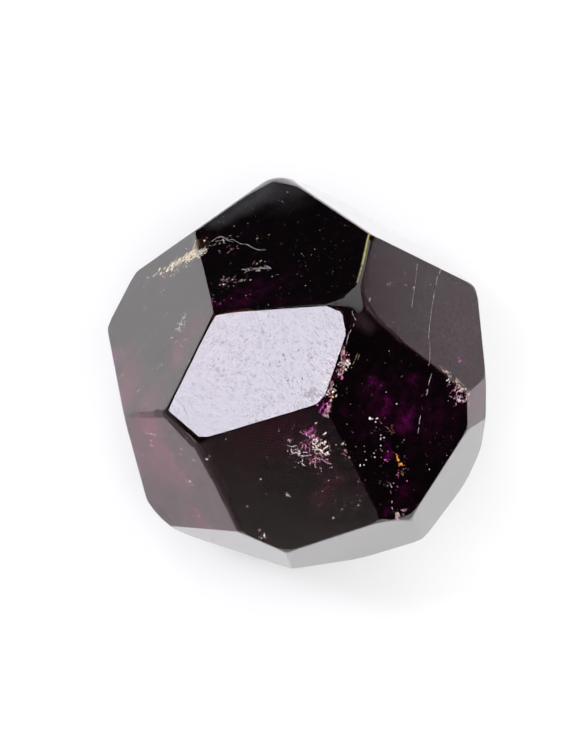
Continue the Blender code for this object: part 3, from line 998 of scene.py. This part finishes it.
class GARNET_OT_flecks(bpy.types.Operator):
    """Scatter the grains, dust, cracks and scratches over the crystal"""

    bl_idname = "garnet.flecks"
    bl_label = "Flecks and scratches"

    def execute(self, context):
        surface = Surface(bpy.data.objects["crystal"])
        grains = Grains()
        chance = random.Random(SCATTER_SEED)
        scatter_flecks(grains, surface, chance)
        weave_webs(grains, surface, chance)
        draw_scratches(grains, surface, chance)
        flecks = new_object("flecks", grains.join(), *[fleck_material(kind) for kind in KINDS])
        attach(flecks, "root")
        return {"FINISHED"}


# ---- stage ----


# Lamps: name, heading and height above the table in degrees, width and height in metres, and radiance. The
# flats mirror the first three. The fills are hidden from mirroring and light only what is matt.
LAMPS = (
    ("softbox", 183.5, 49.4, 0.17, 0.17, 10.37),
    ("back wall", 75.1, 37.2, 0.90, 0.60, 0.95),
    ("front card", 254.9, 0.9, 0.48, 0.036, 0.60),
    ("fill front", 273.6, 36.8, 0.52, 0.40, 2.85),
    ("fill front right", 315.0, 32.0, 0.52, 0.40, 1.75),
    ("fill front left", 225.0, 32.0, 0.52, 0.40, 2.29),
    ("fill right", 0.0, 32.0, 0.52, 0.40, 2.38),
    ("fill back", 90.0, 32.0, 0.52, 0.40, 1.54),
    ("fill back left", 135.0, 32.0, 0.52, 0.40, 2.03),
    ("fill low front", 270.0, 12.8, 1.00, 0.20, 4.60),
)
LAMP_DISTANCE = 0.60  # metres
CAMERA_ASIDE = Vector((-0.00149, 0.0, 0.0))  # metres, from the crystal's middle
LAMP_TINTS = {"softbox": (0.912, 0.866, 1.0), "front card": (1.0, 0.99, 0.88), "fill": (1.0, 0.995, 0.985)}


def softbox(name, direction, width, height, radiance, tint):
    """A rectangular light that stands along a direction from the crystal and faces it."""
    data = bpy.data.lights.new(name, "AREA")
    data.shape, data.size, data.size_y = "RECTANGLE", width, height
    data.energy = radiance * math.pi * width * height
    data.color = tint
    lamp = bpy.data.objects.new(name, data)
    aim = Vector(unit(direction))
    lamp.location = Vector(MIDDLE * MM) + aim * LAMP_DISTANCE
    lamp.rotation_euler = aim.to_track_quat("Z", "Y").to_euler()
    bpy.context.scene.collection.objects.link(lamp)
    return lamp


def table_material(looks):
    shader = Shader("white table")
    matt = shader.surface(Base_Color=tuple(looks.table_colour), Roughness=0.9, Specular_IOR_Level=0.2)
    return shader.finish(matt)


def surroundings():
    """White to the camera whatever the lamps, and nearly black to all that mirrors or lights."""
    world = bpy.data.worlds.new("room")
    bpy.context.scene.world = world
    world.use_nodes = True
    shader = Shader("room", world.node_tree)
    seen = shader.node("ShaderNodeLightPath", out="Is Camera Ray")
    pale = shader.node("ShaderNodeBackground", {}, {"Color": (1.0, 1.0, 1.0, 1.0), "Strength": 1.0})
    dim = shader.node("ShaderNodeBackground", {}, {"Color": (0.8, 0.8, 1.0, 1.0), "Strength": 0.018})
    shades = shader.blend(seen, dim, pale)
    shader.node("ShaderNodeOutputWorld", {}, {"Surface": shades}, out=())


class GARNET_OT_stage(bpy.types.Operator):
    """Set up the white table, the soft lights and the camera"""

    bl_idname = "garnet.stage"
    bl_label = "Table, lights and camera"

    def execute(self, context):
        looks = context.scene.garnet_stage
        mesh = bmesh.new()
        bmesh.ops.create_circle(mesh, cap_ends=True, segments=96, radius=looks.table_radius)
        table = new_object("table", mesh, table_material(looks))
        surroundings()
        for name, heading, lift, width, height, radiance in LAMPS:
            direction = heading_vector(90.0 - lift, heading)
            tint = LAMP_TINTS.get(name, LAMP_TINTS["fill"])
            lamp = softbox(name, direction, width, height, radiance, tint)
            if name.startswith("fill"):
                lamp.visible_glossy = lamp.visible_transmission = lamp.visible_camera = False
        data = bpy.data.cameras.new("camera")
        data.lens, data.sensor_fit, data.sensor_height = looks.lens, "VERTICAL", 24.0
        camera = bpy.data.objects.new("camera", data)
        context.scene.collection.objects.link(camera)
        back = Vector((0.0, -math.cos(looks.elevation), math.sin(looks.elevation)))
        camera.location = Vector(MIDDLE * MM) + CAMERA_ASIDE + back * looks.distance
        camera.rotation_euler = back.to_track_quat("Z", "Y").to_euler()
        data.clip_start, data.clip_end = 0.01, 10.0
        context.scene.camera = camera
        context.scene.view_settings.view_transform = "Standard"
        return {"FINISHED"}


# ---- registration ----


class GARNET_PT_panel(bpy.types.Panel):
    """Builds the crystal and its stage"""

    bl_label = "Garnet crystal"
    bl_idname = "GARNET_PT_panel"
    bl_space_type = "VIEW_3D"
    bl_region_type = "UI"
    bl_category = "Garnet"

    def draw(self, context):
        scene = context.scene
        for settings, operator in (
            (scene.garnet_shape, None),
            (scene.garnet_looks, GARNET_OT_crystal),
            (scene.garnet_stage, GARNET_OT_stage),
        ):
            box = self.layout.box()
            for name in settings.__annotations__:
                box.prop(settings, name)
            if operator:
                box.operator(operator.bl_idname)


CLASSES = (GarnetShape, GarnetLooks, StageLooks, GARNET_OT_crystal, GARNET_OT_flecks, GARNET_OT_stage,
           GARNET_PT_panel)


def register():
    for cls in CLASSES:
        bpy.utils.register_class(cls)
    bpy.types.Scene.garnet_shape = bpy.props.PointerProperty(type=GarnetShape)
    bpy.types.Scene.garnet_looks = bpy.props.PointerProperty(type=GarnetLooks)
    bpy.types.Scene.garnet_stage = bpy.props.PointerProperty(type=StageLooks)


def unregister():
    for name in ("garnet_shape", "garnet_looks", "garnet_stage"):
        delattr(bpy.types.Scene, name)
    for cls in reversed(CLASSES):
        bpy.utils.unregister_class(cls)


def main():
    register()
    bpy.ops.garnet.crystal()
    bpy.ops.garnet.flecks()
    bpy.ops.garnet.stage()


if __name__ == "__main__":
    main()
